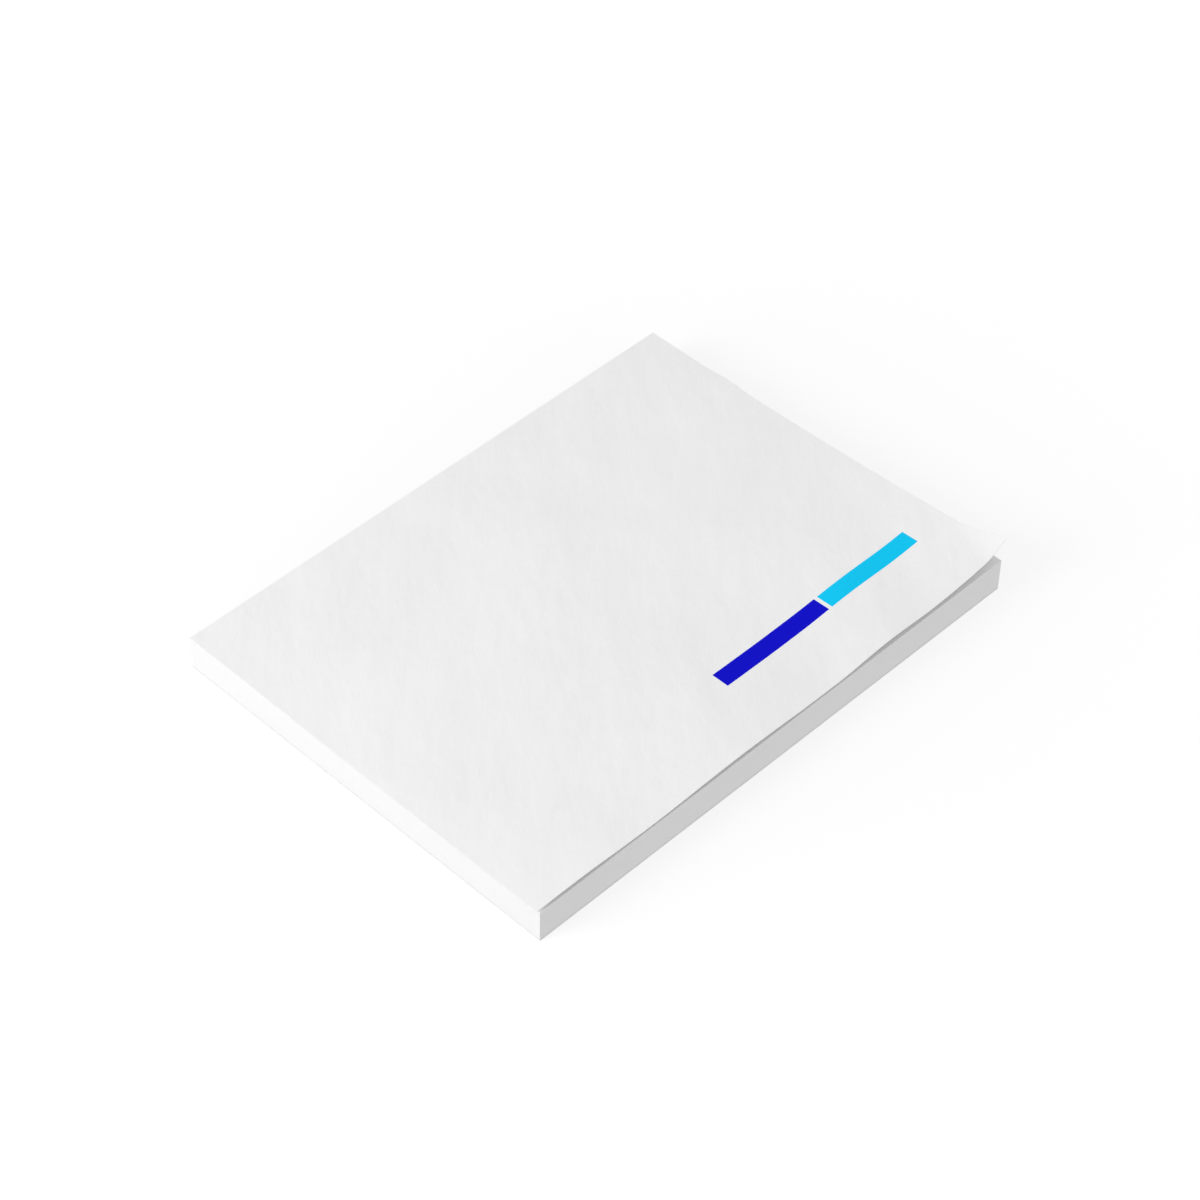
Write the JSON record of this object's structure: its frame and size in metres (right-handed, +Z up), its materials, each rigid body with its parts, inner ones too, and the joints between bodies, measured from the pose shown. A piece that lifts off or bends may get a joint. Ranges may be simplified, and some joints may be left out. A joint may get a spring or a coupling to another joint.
{
  "type": "sticky note pad",
  "caption": "Rectangular block of white adhesive-backed paper notes, with the top note's free edge gently lifted and one corner curled up.",
  "frame": {"origin": "centre of the base, on the surface that the pad lies on", "axes": "+X along the long edges in the reading direction, +Y towards the glued long edge, +Z up out of the top note"},
  "size_m": [0.1032, 0.0762, 0.0104],
  "materials": {
    "note_paper": "matt uncoated white paper",
    "liner": "smooth coated white release paper",
    "adhesive": "thin tacky coat, nearly clear",
    "dark_blue_ink": "matt deep blue ink in paper",
    "cyan_ink": "matt cyan ink in paper"
  },
  "bodies": {
    "root": {"backing_liner": "liner", "liner_adhesive": "adhesive", "note_block": "note_paper", "top_adhesive": "adhesive", "top_note": "note_paper", "print_field_dark": "dark_blue_ink", "print_field_light": "cyan_ink"}
  },
  "joints": []
}
